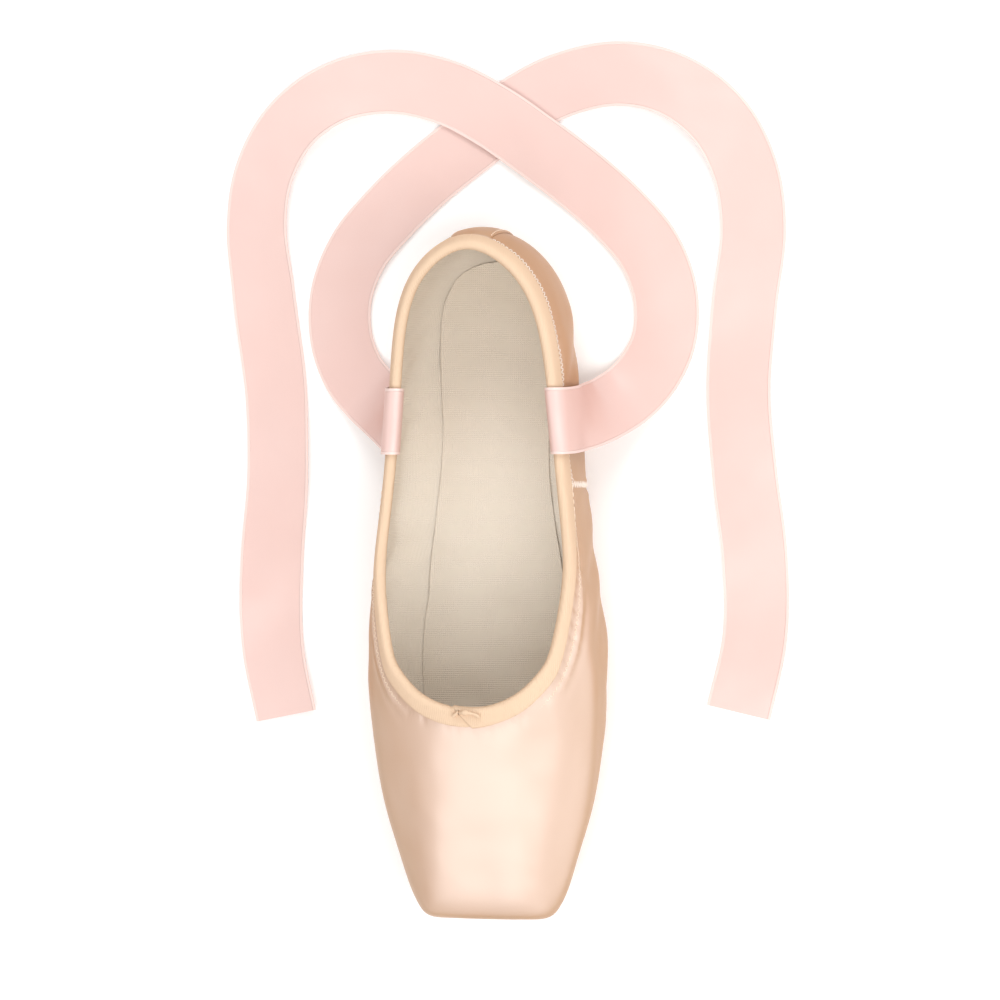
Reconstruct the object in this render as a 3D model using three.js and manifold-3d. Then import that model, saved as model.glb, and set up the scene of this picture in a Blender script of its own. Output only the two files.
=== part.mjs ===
// Pointe shoe for either foot: a hollow satin upper with a hardened toe box, closed underneath by a
// leather outsole, with an insole, a bound collar, a heel strip, a drawstring knot and two ankle ribbons.
// Millimetres. +X points to the toe, +Z up, and the origin is on the floor under the middle of the shoe.
import * as THREE from "three";
import { mergeVertices } from "three/addons/utils/BufferGeometryUtils.js";
import Module from "manifold-3d";

const wasm = await Module();
wasm.setup();

// Driving dimensions
const LENGTH = 232;
const BALL_WIDTH = 81;
const INSTEP_HEIGHT = 53;
const QUARTER_WALL = 1.4;
const BOX_WALL = 3;
const SOLE_THICKNESS = 2.6;
const INSOLE_THICKNESS = 1.8;
const ARCH_RISE = 3.2;
const TOE_SPRING = 1.2;
const BINDING_DEPTH = 4.6;
const BINDING_THICKNESS = 0.9;
const HEEL_STRIP_WIDTH = 16;
const HEEL_STRIP_THICKNESS = 0.7;
const DRAWSTRING_RADIUS = 0.8;
const RIBBON_WIDTH = 22;
const RIBBON_THICKNESS = 0.6;
const GAP = 0.3;

// Where the sole is flat on the floor, as distances from the back of the heel
const HEEL_FLAT_END = 50;
const BALL_FLAT_START = 132;
const BALL_FLAT_END = 182;
const SOLE_FRONT = 206;

// How far the upper's margin runs in under the outsole, and the slope of its underside beyond the sole
const MARGIN = 6;
const UNDER_SLOPE = 0.09;

// The sections of the last, from the middle of the toe round one side to the middle of the heel.
// outline is the widest line seen from above, at the height girth. The wall rises from it, turns in at
// the height shoulder and ends at the collar; below, it turns in under the foot to the edge of the sole.
// crisp and tuck say how tight those two turns are: 1 is a soft round, and 4 nearly a corner.
// along is a share of LENGTH from the back of the heel, half a share of half the ball width, and
// girth, shoulder and height are shares of the instep height.
const SECTIONS = [
  { name: "toe", along: 1, half: 0, girth: 0.32, shoulder: 0.6, crisp: 4.5, tuck: 1.8,
    collar: { along: 0.694, half: 0, height: 1 }, sole: { along: 0.888, half: 0 } },
  { name: "platform", along: 1, half: 0.42, girth: 0.32, shoulder: 0.595, crisp: 4, tuck: 1.8,
    collar: { along: 0.688, half: 0.23, height: 0.996 }, sole: { along: 0.878, half: 0.222 } },
  { name: "platform corner", along: 0.989, half: 0.548, girth: 0.32, shoulder: 0.57, crisp: 2.6, tuck: 1.6,
    collar: { along: 0.683, half: 0.306, height: 0.991 }, sole: { along: 0.869, half: 0.304 } },
  { name: "box side", along: 0.931, half: 0.711, girth: 0.325, shoulder: 0.55, crisp: 1.4, tuck: 1.3,
    collar: { along: 0.668, half: 0.454, height: 0.972 }, sole: { along: 0.839, half: 0.435 } },
  { name: "vamp side", along: 0.845, half: 0.869, girth: 0.335, shoulder: 0.58, crisp: 1, tuck: 1.1,
    collar: { along: 0.642, half: 0.598, height: 0.943 }, sole: { along: 0.789, half: 0.523 } },
  { name: "joint", along: 0.741, half: 0.963, girth: 0.34, shoulder: 0.64, crisp: 0.9, tuck: 1,
    collar: { along: 0.603, half: 0.706, height: 0.906 }, sole: { along: 0.72, half: 0.578 } },
  { name: "ball", along: 0.664, half: 1, girth: 0.34, shoulder: 0.66, crisp: 0.9, tuck: 1,
    collar: { along: 0.543, half: 0.765, height: 0.862 }, sole: { along: 0.655, half: 0.593 } },
  { name: "waist front", along: 0.509, half: 0.926, girth: 0.34, shoulder: 0.64, crisp: 0.9, tuck: 1,
    collar: { along: 0.453, half: 0.785, height: 0.805 }, sole: { along: 0.517, half: 0.464 } },
  { name: "waist", along: 0.366, half: 0.815, girth: 0.34, shoulder: 0.62, crisp: 0.9, tuck: 1,
    collar: { along: 0.353, half: 0.728, height: 0.783 }, sole: { along: 0.379, half: 0.37 } },
  { name: "heel front", along: 0.207, half: 0.753, girth: 0.358, shoulder: 0.66, crisp: 0.9, tuck: 1,
    collar: { along: 0.207, half: 0.654, height: 0.835 }, sole: { along: 0.224, half: 0.435 } },
  { name: "heel side", along: 0.103, half: 0.667, girth: 0.377, shoulder: 0.745, crisp: 0.9, tuck: 1,
    collar: { along: 0.112, half: 0.55, height: 0.92 }, sole: { along: 0.121, half: 0.469 } },
  { name: "heel corner", along: 0.03, half: 0.407, girth: 0.377, shoulder: 0.83, crisp: 0.9, tuck: 1,
    collar: { along: 0.054, half: 0.328, height: 0.995 }, sole: { along: 0.065, half: 0.333 } },
  { name: "heel back", along: 0, half: 0, girth: 0.377, shoulder: 0.865, crisp: 0.9, tuck: 1,
    collar: { along: 0.028, half: 0, height: 1.028 }, sole: { along: 0.047, half: 0 } },
];

// Each ribbon's route by hand: from the lining over the bound collar, down the side, along the floor round
// the heel, over or under the other ribbon, and forward on the far side. along is x, out the distance
// from the shoe's middle on the ribbon's own side, height that of its middle line, and bank its roll.
const OVER_COLLAR = [
  { along: -50.5, out: 28.9, height: 26.5, bank: -4 },
  { along: -50.5, out: 27.9, height: 31.5, bank: -4 },
  { along: -50.5, out: 26.4, height: 36, bank: -4.5 },
  { along: -50.5, out: 25.2, height: 40, bank: -4.5 },
  { along: -50.5, out: 25, height: 43, bank: -4.5 },
  { along: -50.5, out: 26.6, height: 44.9, bank: -4.5 },
  { along: -50.5, out: 28.9, height: 44.7, bank: -4.5 },
  { along: -50.6, out: 30.5, height: 42.7, bank: -4 },
  { along: -50.8, out: 31.7, height: 38.6, bank: -3 },
  { along: -51.2, out: 32.7, height: 33, bank: -2 },
  { along: -52, out: 33.7, height: 25, bank: 0 },
  { along: -53.5, out: 35.6, height: 16, bank: 0 },
  { along: -56, out: 39.2, height: 8, bank: 0 },
  { along: -60.5, out: 45, height: 2.8, bank: 0 },
  { along: -68, out: 51.5, height: 0.7, bank: 0 },
];
const RIBBON_ROUTES = {
  ribbon_left: {
    side: 1,
    rows: [
      ...OVER_COLLAR,
      { along: -79, out: 56.5, height: 0.4, bank: 0 },
      { along: -94, out: 57, height: 0.7, bank: -1.5 },
      { along: -109, out: 51.5, height: 0.9, bank: -2.5 },
      { along: -122, out: 40.5, height: 0.6, bank: -1 },
      { along: -134, out: 27, height: 1, bank: 0 },
      { along: -145, out: 12.5, height: 1.7, bank: 0 },
      { along: -155.5, out: -2.5, height: 1.8, bank: 0 },
      { along: -164, out: -19, height: 1.6, bank: 0 },
      { along: -168, out: -38, height: 1.6, bank: -4 },
      { along: -165, out: -57, height: 2.2, bank: -9 },
      { along: -154.5, out: -73, height: 2.3, bank: -10 },
      { along: -138, out: -83, height: 1.8, bank: -7 },
      { along: -119, out: -86, height: 1, bank: -3 },
      { along: -95, out: -83.5, height: 0.4, bank: 0 },
      { along: -65, out: -79.5, height: 0.4, bank: 0 },
      { along: -35, out: -78.5, height: 0.5, bank: 0.5 },
      { along: -5, out: -80.5, height: 0.5, bank: 0.5 },
      { along: 25, out: -80.5, height: 0.4, bank: 0 },
      { along: 50, out: -75.5, height: 0.4, bank: 0 },
    ],
  },
  ribbon_right: {
    side: -1,
    rows: [
      ...OVER_COLLAR,
      { along: -80, out: 56, height: 0.4, bank: 0 },
      { along: -95, out: 56, height: 0.6, bank: -1 },
      { along: -110, out: 50, height: 0.8, bank: -2 },
      { along: -123, out: 39, height: 0.5, bank: -0.5 },
      { along: -135, out: 26, height: 0.4, bank: 0 },
      { along: -146, out: 11.5, height: 0.4, bank: 0 },
      { along: -157, out: -4, height: 0.4, bank: 0 },
      { along: -165.5, out: -21, height: 0.4, bank: 0 },
      { along: -169, out: -41, height: 1.2, bank: -4 },
      { along: -164.5, out: -60, height: 2.3, bank: -10 },
      { along: -152.5, out: -75.5, height: 2.4, bank: -10.5 },
      { along: -135, out: -84.5, height: 1.7, bank: -6.5 },
      { along: -115, out: -87, height: 0.8, bank: -2 },
      { along: -90, out: -84, height: 0.4, bank: 0 },
      { along: -62, out: -82, height: 0.5, bank: 0.5 },
      { along: -34, out: -84, height: 0.6, bank: 1 },
      { along: -6, out: -87.5, height: 0.5, bank: 0.5 },
      { along: 22, out: -87.5, height: 0.4, bank: 0 },
      { along: 47, out: -82, height: 0.4, bank: 0 },
    ],
  },
};

// Mesh fineness
const SECTIONS_AROUND = 80;
const LEVELS_DOWN = 18;
const CURVE_STEPS = 40;
const TURN_RADIUS = 9;
const NORMAL_STEP = 0.4;

const lerp = THREE.MathUtils.lerp;
const smoothstep = THREE.MathUtils.smoothstep;

// A smooth closed curve through values at the given knots, with continuous curvature
function closedSpline(knots, values, period) {
  const count = knots.length;
  const span = knots.map((knot, i) => (i + 1 < count ? knots[i + 1] : period) - knot);
  const slope = values.map((value, i) => (values[(i + 1) % count] - value) / span[i]);
  const bend = new Array(count).fill(0);
  for (let sweep = 0; sweep < 120; sweep++)
    for (let i = 0; i < count; i++) {
      const before = (i + count - 1) % count;
      const after = (i + 1) % count;
      const pull = 6 * (slope[i] - slope[before]) - span[before] * bend[before] - span[i] * bend[after];
      bend[i] = pull / (2 * (span[before] + span[i]));
    }
  return (distance) => {
    const at = THREE.MathUtils.euclideanModulo(distance, period);
    let i = count - 1;
    while (knots[i] > at) i--;
    const after = (i + 1) % count;
    const b = (at - knots[i]) / span[i];
    const a = 1 - b;
    const curve = ((a ** 3 - a) * bend[i] + (b ** 3 - b) * bend[after]) * (span[i] ** 2 / 6);
    return a * values[i] + b * values[after] + curve;
  };
}

// The loop of sections: one side as in the table, then the same sections mirrored back to the toe
const loop = [
  ...SECTIONS.map((section) => ({ section, side: 1 })),
  ...SECTIONS.slice(1, -1).reverse().map((section) => ({ section, side: -1 })),
];
const outlinePoints = loop.map(
  ({ section, side }) =>
    new THREE.Vector2(section.along * LENGTH, (side * section.half * BALL_WIDTH) / 2),
);
const knots = [0];
for (let i = 1; i <= loop.length; i++)
  knots.push(knots[i - 1] + outlinePoints[i - 1].distanceTo(outlinePoints[i % loop.length]));
const GIRTH = knots.pop();
const HEEL_AT = knots[SECTIONS.length - 1];

const column = (read) => closedSpline(knots, loop.map(read), GIRTH);
const alongColumn = (read) => column(({ section }) => read(section) * LENGTH);
const halfColumn = (read) => column(({ section, side }) => (side * read(section) * BALL_WIDTH) / 2);
const heightColumn = (read) => column(({ section }) => read(section) * INSTEP_HEIGHT);

const rails = {
  along: alongColumn((s) => s.along),
  half: halfColumn((s) => s.half),
  girth: heightColumn((s) => s.girth),
  shoulder: heightColumn((s) => s.shoulder),
  crisp: column(({ section }) => section.crisp),
  tuck: column(({ section }) => section.tuck),
  collarAlong: alongColumn((s) => s.collar.along),
  collarHalf: halfColumn((s) => s.collar.half),
  collarHeight: heightColumn((s) => s.collar.height),
  soleAlong: alongColumn((s) => s.sole.along),
  soleHalf: halfColumn((s) => s.sole.half),
};

// x of the back of the heel, so that upper and heel strip together are centred on the origin
const HEEL_X = (GAP + HEEL_STRIP_THICKNESS - LENGTH) / 2;
const fromHeel = (along) => along + HEEL_X;

// Height of the sole's underside over the floor: flat at heel and ball, raised at arch and toe
function soleLift(x) {
  const along = x - HEEL_X;
  const arch = THREE.MathUtils.clamp((along - HEEL_FLAT_END) / (BALL_FLAT_START - HEEL_FLAT_END), 0, 1);
  const toe = THREE.MathUtils.clamp((along - BALL_FLAT_END) / (SOLE_FRONT - BALL_FLAT_END), 0, 1);
  return ARCH_RISE * Math.sin(Math.PI * arch) ** 2 + TOE_SPRING * toe ** 2;
}

// The sole's outline, moved inwards by inset
function soleEdge(at, inset) {
  const point = (d) => new THREE.Vector2(fromHeel(rails.soleAlong(d)), rails.soleHalf(d));
  const tangent = point(at + NORMAL_STEP).sub(point(at - NORMAL_STEP)).normalize();
  return point(at).add(new THREE.Vector2(-tangent.y, tangent.x).multiplyScalar(inset));
}

// A round or crisp turn between two points: a conic that heads for the corner from both ends
function turn(from, corner, to, weight) {
  const points = [];
  for (let i = 0; i <= CURVE_STEPS; i++) {
    const s = i / CURVE_STEPS;
    const shares = [(1 - s) ** 2, 2 * weight * s * (1 - s), s ** 2];
    const sum = shares[0] + shares[1] + shares[2];
    const point = new THREE.Vector3().addScaledVector(from, shares[0] / sum);
    points.push(point.addScaledVector(corner, shares[1] / sum).addScaledVector(to, shares[2] / sum));
  }
  return points;
}

// The upper's outside from the collar down to the margin under the sole, at a place on the outline
const meridians = new Map();
function meridian(at) {
  const key = THREE.MathUtils.euclideanModulo(at, GIRTH);
  if (meridians.has(key)) return meridians.get(key);
  const outline = [fromHeel(Math.min(LENGTH, Math.max(0, rails.along(at)))), rails.half(at)];
  const widest = new THREE.Vector3(...outline, rails.girth(at));
  const shoulder = new THREE.Vector3(...outline, rails.shoulder(at));
  const collar = new THREE.Vector3(
    fromHeel(rails.collarAlong(at)), rails.collarHalf(at), rails.collarHeight(at));
  const edge = soleEdge(at, MARGIN);
  const margin = new THREE.Vector3(edge.x, edge.y, soleLift(edge.x) + SOLE_THICKNESS + GAP);
  const reach = Math.hypot(outline[0] - edge.x, outline[1] - edge.y);
  const under = new THREE.Vector3(...outline, margin.z + UNDER_SLOPE * reach);
  const points = [
    ...turn(collar, shoulder, widest, rails.crisp(at)),
    ...turn(widest, under, margin, rails.tuck(at)).slice(1),
  ];
  const lengths = [0];
  for (let i = 1; i < points.length; i++)
    lengths.push(lengths[i - 1] + points[i].distanceTo(points[i - 1]));
  const made = { points, lengths, length: lengths[lengths.length - 1], girthAt: lengths[CURVE_STEPS] };
  meridians.set(key, made);
  return made;
}

// A point of the upper's outside: at a place on the outline, a distance down from the collar
function skin(at, down) {
  const { points, lengths } = meridian(at);
  let i = 1;
  while (i < points.length - 1 && lengths[i] < down) i++;
  const share = (down - lengths[i - 1]) / (lengths[i] - lengths[i - 1]);
  return new THREE.Vector3().lerpVectors(points[i - 1], points[i], share);
}

// The direction straight out of the upper, and the one that runs up along it to the collar
function skinFrame(at, down) {
  const round = skin(at + NORMAL_STEP, down).sub(skin(at - NORMAL_STEP, down));
  const up = skin(at, down - NORMAL_STEP).sub(skin(at, down + NORMAL_STEP)).normalize();
  const out = new THREE.Vector3().crossVectors(round, up).normalize();
  return { out, up };
}

function offSkin(at, down, outwards, upwards = 0) {
  const { out, up } = skinFrame(at, down);
  return skin(at, down).addScaledVector(out, outwards).addScaledVector(up, upwards);
}

// Wall thickness: thin quarters, and a hard box that thins out again at the collar and the margin
const BOX_BEGINS = 0.56 * LENGTH;
const BOX_FULL = 0.76 * LENGTH;
const THIN_EDGE = 2;
const FULL_FROM_EDGE = 15;

function wallThickness(at, down) {
  const hard = smoothstep(skin(at, down).x - HEEL_X, BOX_BEGINS, BOX_FULL);
  const belowCollar = smoothstep(down, THIN_EDGE, FULL_FROM_EDGE);
  const beforeMargin = smoothstep(meridian(at).length - down, THIN_EDGE, FULL_FROM_EDGE);
  return lerp(QUARTER_WALL, BOX_WALL, hard * belowCollar * beforeMargin);
}

// Shares a line into equal steps of length plus turning, so that tight turns get more points
function evenSteps(points, count) {
  const measure = [0];
  for (let i = 1; i < points.length; i++) {
    const step = points[i].clone().sub(points[i - 1]);
    const next = i + 1 < points.length ? points[i + 1].clone().sub(points[i]) : step;
    measure.push(measure[i - 1] + step.length() + TURN_RADIUS * step.angleTo(next));
  }
  const shares = [];
  for (let k = 0, i = 1; k <= count; k++) {
    const wanted = (measure[measure.length - 1] * k) / count;
    while (i < points.length - 1 && measure[i] < wanted) i++;
    shares.push(i - 1 + (wanted - measure[i - 1]) / (measure[i] - measure[i - 1]));
  }
  return shares;
}

// Places round the outline: even steps on one side, mirrored on the other
function placesAround() {
  const fine = [];
  const steps = 800;
  for (let i = 0; i <= steps; i++) {
    const at = (HEEL_AT * i) / steps;
    fine.push(new THREE.Vector3(rails.along(at), rails.half(at), 0));
  }
  const side = evenSteps(fine, SECTIONS_AROUND / 2).map((share) => (HEEL_AT * share) / steps);
  return [...side, ...side.slice(1, -1).reverse().map((at) => GIRTH - at)];
}
const places = placesAround();

// Distances down from the collar for the levels of one section
function levelsDown(at) {
  const { points, lengths } = meridian(at);
  return evenSteps(points, LEVELS_DOWN).map((share) => {
    const i = Math.min(Math.floor(share), points.length - 2);
    return lerp(lengths[i], lengths[i + 1], share - i);
  });
}

// Solids from rings of points

function geometryOf(vertices, triangles) {
  const positions = vertices.flatMap((v) => [v.x, v.y, v.z]);
  return new THREE.BufferGeometry()
    .setAttribute("position", new THREE.Float32BufferAttribute(positions, 3))
    .setIndex(triangles.flat());
}

// Rings, each a closed section, joined in a loop: a solid hoop
function hoop(rings) {
  const size = rings[0].length;
  const index = (i, j) => (i % rings.length) * size + (j % size);
  const triangles = [];
  for (let i = 0; i < rings.length; i++)
    for (let j = 0; j < size; j++)
      triangles.push(
        [index(i, j), index(i, j + 1), index(i + 1, j + 1)],
        [index(i, j), index(i + 1, j + 1), index(i + 1, j)],
      );
  return geometryOf(rings.flat(), triangles);
}

// Sections, each out along one face and back along the other, joined one to the next and capped by
// rungs at both ends: a solid band
function band(sections) {
  const size = sections[0].length;
  const triangles = [];
  for (let i = 0; i + 1 < sections.length; i++)
    for (let j = 0; j < size; j++) {
      const [a, b] = [i * size + j, i * size + ((j + 1) % size)];
      triangles.push([a, b, b + size], [a, b + size, a + size]);
    }
  const last = (sections.length - 1) * size;
  for (let j = 0; j + 1 < size / 2; j++) {
    const [a, b, c, d] = [j, j + 1, size - 2 - j, size - 1 - j];
    triangles.push([a, c, b], [a, d, c], [last + a, last + b, last + c], [last + a, last + c, last + d]);
  }
  return geometryOf(sections.flat(), triangles);
}

// Level rings from top to bottom round the sole, closed across by strips: a solid plate
function plate(rings) {
  const count = rings[0].length;
  const middle = count / 2;
  const triangles = [];
  for (let r = 0; r + 1 < rings.length; r++)
    for (let i = 0; i < count; i++) {
      const [a, b] = [r * count + i, r * count + ((i + 1) % count)];
      triangles.push([a, a + count, b + count], [a, b + count, b]);
    }
  const bottom = (rings.length - 1) * count;
  for (let i = 0; i < middle; i++) {
    const near = [i, i + 1];
    const far = [(count - i) % count, count - i - 1];
    if (i > 0) {
      triangles.push([far[0], near[0], near[1]]);
      triangles.push([bottom + near[0], bottom + far[0], bottom + near[1]]);
    }
    if (i < middle - 1) {
      triangles.push([far[0], near[1], far[1]]);
      triangles.push([bottom + near[1], bottom + far[0], bottom + far[1]]);
    }
  }
  return geometryOf(rings.flat(), triangles);
}

// Upper: outside and inside of the wall, joined at the collar and at the margin
function upper() {
  return hoop(
    places.map((at) => {
      const levels = levelsDown(at);
      const outside = levels.map((down) => skin(at, down));
      const inside = levels.map((down) => offSkin(at, down, -wallThickness(at, down)));
      return [...outside, ...inside.reverse()];
    }),
  );
}

// Outsole: leather with a rounded edge that thins towards the upper
function outsole() {
  const edges = [
    { inset: 0.5, height: 1 },
    { inset: 0, height: 0.72 },
    { inset: 0.1, height: 0.32 },
    { inset: 0.8, height: 0 },
  ];
  return plate(
    edges.map(({ inset, height }) =>
      places.map((at) => {
        const edge = soleEdge(at, inset);
        return new THREE.Vector3(edge.x, edge.y, soleLift(edge.x) + height * SOLE_THICKNESS);
      }),
    ),
  );
}

// Insole: fills the bottom of the foot's space from wall to wall
function insole() {
  const seat = 2 * GAP + SOLE_THICKNESS + QUARTER_WALL;
  const clearance = 0.15;
  const ring = (height) =>
    places.map((at) => {
      const { girthAt, length } = meridian(at);
      const steps = 60;
      for (let i = 0; i <= steps; i++) {
        const down = lerp(girthAt, length, i / steps);
        const point = offSkin(at, down, -wallThickness(at, down) - GAP - clearance);
        const level = soleLift(point.x) + height;
        if (point.z <= level || i === steps) return point.setZ(level);
      }
    });
  return plate([ring(seat + INSOLE_THICKNESS), ring(seat + 2 * clearance)]);
}

// Binding: a folded tape over the collar's edge
function binding() {
  const middle = -QUARTER_WALL / 2;
  const innerHalf = QUARTER_WALL / 2 + GAP;
  const outerHalf = innerHalf + BINDING_THICKNESS;
  const innerDepth = BINDING_DEPTH - 1;
  return hoop(
    places.map((at) => {
      const arc = (half, degrees) => {
        const angle = THREE.MathUtils.degToRad(degrees);
        return offSkin(at, 0, middle + half * Math.cos(angle), half * Math.sin(angle));
      };
      const outside = (height, downs) => downs.map((down) => offSkin(at, down, height));
      const inside = (height, downs) =>
        downs.map((down) => offSkin(at, down, -wallThickness(at, down) - height));
      return [
        ...[135, 90, 45].map((degrees) => arc(outerHalf, degrees)),
        ...outside(GAP + BINDING_THICKNESS, [0, BINDING_DEPTH / 2, BINDING_DEPTH]),
        ...outside(GAP, [BINDING_DEPTH, BINDING_DEPTH / 2, 0]),
        arc(innerHalf, 90),
        ...inside(GAP, [0, innerDepth / 2, innerDepth]),
        ...inside(GAP + BINDING_THICKNESS, [innerDepth, 0]),
      ];
    }),
  );
}

// Heel strip: a band of satin down the back, from the binding to the sole
function heelStrip() {
  const top = BINDING_DEPTH + GAP;
  const toSole = MARGIN + 2 * GAP;
  const rows = 16;
  const offsets = [-3, -2, -1, 0, 1, 2, 3].map((step) => (step / 6) * HEEL_STRIP_WIDTH);
  const sections = [];
  for (let i = 0; i <= rows; i++) {
    const across = (height) =>
      offsets.map((offset) => {
        const at = HEEL_AT + offset;
        return offSkin(at, lerp(top, meridian(at).length - toSole, i / rows), height);
      });
    sections.push([...across(GAP), ...across(GAP + HEEL_STRIP_THICKNESS).reverse()]);
  }
  return band(sections);
}

// Drawstring knot: two short ends of cord that meet in a knot on top of the binding at the throat
function solidFrom(geometry) {
  const bare = geometry.index ? geometry.toNonIndexed() : geometry;
  bare.deleteAttribute("normal");
  bare.deleteAttribute("uv");
  const merged = mergeVertices(bare, 1e-4);
  return new wasm.Manifold(
    new wasm.Mesh({
      numProp: 3,
      vertProperties: merged.attributes.position.array,
      triVerts: new Uint32Array(merged.index.array),
    }),
  );
}

function drawstringKnot() {
  const knotRadius = 1.7 * DRAWSTRING_RADIUS;
  const fromEdge = 1.5;
  const { out, up } = skinFrame(0, fromEdge);
  const seat = skin(0, fromEdge).addScaledVector(out, 2 * GAP + BINDING_THICKNESS + knotRadius);
  const place = ([forward, side, height]) =>
    seat.clone()
      .addScaledVector(up, -forward)
      .addScaledVector(out, height)
      .add(new THREE.Vector3(0, side, 0));
  let knot = solidFrom(new THREE.SphereGeometry(knotRadius, 10, 8)).translate(seat.toArray());
  const section = new THREE.Shape().absarc(0, 0, DRAWSTRING_RADIUS, 0, 2 * Math.PI);
  for (const side of [-1, 1]) {
    const route = [[0, 0, 0], [0.3, 1.9, 0.2], [1, 3.4, 0.1], [2.2, 4.6, 0.2]];
    const path = new THREE.CatmullRomCurve3(route.map(([f, s, h]) => place([f, side * s, h])));
    const end = new THREE.ExtrudeGeometry(section, { steps: 8, curveSegments: 4, extrudePath: path });
    knot = knot.add(solidFrom(end));
  }
  const { vertProperties, triVerts } = knot.getMesh();
  return new THREE.BufferGeometry()
    .setAttribute("position", new THREE.Float32BufferAttribute(vertProperties, 3))
    .setIndex([...triVerts]);
}

// Ribbons: flat bands along their routes, square to the collar on the shoe and to the route on the floor
const STEPS_PER_ROW = 3;
const COLLAR_ACROSS = new THREE.Vector3(1, 0.085, 0).normalize();

function ribbon({ side, rows }) {
  const route = new THREE.CatmullRomCurve3(
    rows.map(({ along, out, height }) => new THREE.Vector3(along, out, height)));
  const sections = [];
  const steps = STEPS_PER_ROW * (rows.length - 1);
  for (let i = 0; i <= steps; i++) {
    const share = i / steps;
    const point = route.getPoint(share);
    const heading = route.getTangent(share);
    const square = new THREE.Vector3(heading.y, -heading.x, 0).normalize();
    const onFloor = 1 - smoothstep(point.z, 4, 30);
    const level = COLLAR_ACROSS.clone().lerp(square, onFloor).normalize();
    const row = Math.min(Math.floor(share * (rows.length - 1)), rows.length - 2);
    const bank = lerp(rows[row].bank, rows[row + 1].bank, share * (rows.length - 1) - row);
    const roll = THREE.MathUtils.degToRad(bank);
    const across = level.multiplyScalar(Math.cos(roll)).setZ(Math.sin(roll));
    const face = new THREE.Vector3().crossVectors(across, heading).normalize();
    const corners = [[-1, -1], [1, -1], [1, 1], [-1, 1]].map(([sideways, through]) =>
      point.clone()
        .addScaledVector(across, (sideways * RIBBON_WIDTH) / 2)
        .addScaledVector(face, (through * RIBBON_THICKNESS) / 2));
    corners.forEach((corner) => corner.setY(side * corner.y));
    sections.push(side > 0 ? corners.reverse() : corners);
  }
  return band(sections);
}

// Finishes
const satin = new THREE.MeshStandardMaterial({ color: 0xf6dcc2, roughness: 0.4, metalness: 0 });
const tape = new THREE.MeshStandardMaterial({ color: 0xf3d5b0, roughness: 0.8, metalness: 0 });
const leather = new THREE.MeshStandardMaterial({ color: 0xd6a66c, roughness: 0.7, metalness: 0 });
const lining = new THREE.MeshStandardMaterial({ color: 0xeadfce, roughness: 0.9, metalness: 0 });
const ribbonSatin = new THREE.MeshStandardMaterial({ color: 0xf7d6cb, roughness: 0.45, metalness: 0 });

// Assembly
const shoe = new THREE.Group();
function addPiece(name, geometry, material) {
  const piece = new THREE.Mesh(geometry, material);
  piece.name = name;
  shoe.add(piece);
}
addPiece("upper", upper(), satin);
addPiece("outsole", outsole(), leather);
addPiece("insole", insole(), lining);
addPiece("binding", binding(), tape);
addPiece("heel_strip", heelStrip(), satin);
addPiece("drawstring_knot", drawstringKnot(), tape);

for (const [name, route] of Object.entries(RIBBON_ROUTES)) addPiece(name, ribbon(route), ribbonSatin);

export default shoe;
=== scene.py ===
# %% [markdown]
# # A pointe shoe in satin
# The solids of the shoe come ready made: upper, outsole, insole, binding, heel strip, knot and two ribbons.
# This lesson dresses them. Each piece is a copy of its solid, made finer, creased and given a cloth
# or leather material, so that nothing drifts away from the measured shape.

# %% Load the solids
import math
import bpy
import numpy as np
from mathutils import Matrix, Vector
from mathutils.bvhtree import BVHTree


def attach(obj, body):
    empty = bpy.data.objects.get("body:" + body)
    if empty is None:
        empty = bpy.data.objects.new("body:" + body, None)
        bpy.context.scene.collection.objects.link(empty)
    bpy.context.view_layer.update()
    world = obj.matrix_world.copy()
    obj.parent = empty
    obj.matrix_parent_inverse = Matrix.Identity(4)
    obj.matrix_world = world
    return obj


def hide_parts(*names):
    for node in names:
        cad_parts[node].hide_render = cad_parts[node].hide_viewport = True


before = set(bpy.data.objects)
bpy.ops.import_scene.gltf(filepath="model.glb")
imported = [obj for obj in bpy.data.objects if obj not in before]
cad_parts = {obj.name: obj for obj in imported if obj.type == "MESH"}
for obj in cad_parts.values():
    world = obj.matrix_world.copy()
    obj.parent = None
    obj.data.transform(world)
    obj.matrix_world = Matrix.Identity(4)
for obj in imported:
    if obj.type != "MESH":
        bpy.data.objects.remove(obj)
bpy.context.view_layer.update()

MM = 0.001
HEEL_X = -115.5
print("solids:", sorted(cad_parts))

# %% [markdown]
# ## Camera, light and floor
# The shoe is seen from above, toe towards us, a little from its left side, through a long lens. A long lens
# keeps the sides of the box nearly parallel, as in a catalogue picture. A wide soft light over the toe makes a
# broad bright band down the vamp, which is what shows satin. A lower one on the right catches the shoulder of
# the box, and weaker ones on the left and behind the heel keep the shadows open.

# %% Camera
LENS = 135
SENSOR = 36
DISTANCE = 1.26
TILT = math.radians(12)
TARGET = Vector((-0.0245, 0.004, 0.02))

camera_data = bpy.data.cameras.new("camera")
camera_data.lens = LENS
camera_data.sensor_width = SENSOR
camera = bpy.data.objects.new("camera", camera_data)
bpy.context.scene.collection.objects.link(camera)
look = Vector((0, math.sin(TILT), math.cos(TILT)))
image_up = Vector((-1, 0, 0))
image_right = image_up.cross(look).normalized()
camera.matrix_world = Matrix.LocRotScale(
    TARGET + DISTANCE * look,
    Matrix((image_right, image_up, look)).transposed(),
    None,
)
bpy.context.scene.camera = camera
print("camera looks along", [round(c, 3) for c in -look])

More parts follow.
